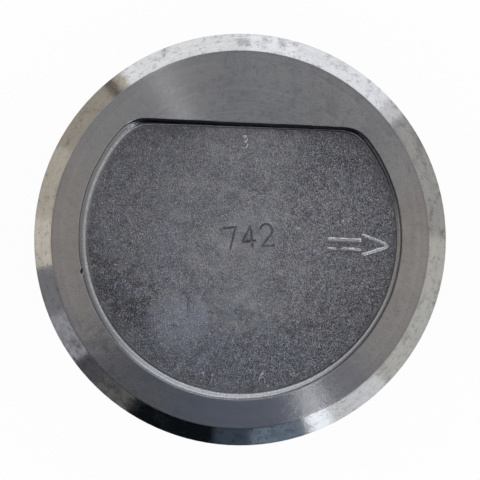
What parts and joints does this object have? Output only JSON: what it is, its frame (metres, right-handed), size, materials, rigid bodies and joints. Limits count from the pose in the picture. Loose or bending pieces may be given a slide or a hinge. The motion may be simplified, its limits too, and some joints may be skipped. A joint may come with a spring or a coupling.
{
  "type": "engine piston",
  "caption": "Cast aluminium engine piston with a D-shaped crown dish, a raised arrow, three ring grooves, pin bosses and an arched skirt.",
  "frame": {"origin": "where the piston's axis crosses the axis of the pin bore", "axes": "+Z along the piston's axis to the crown, +X along the pin bore to the front of the engine, where the arrow points, +Y to the dish's flat side"},
  "size_m": [0.0888, 0.089, 0.0715],
  "materials": {
    "aluminium": "cast, with turned crown, lands, grooves and skirt"
  },
  "bodies": {
    "root": {"piston": "aluminium"}
  },
  "joints": []
}
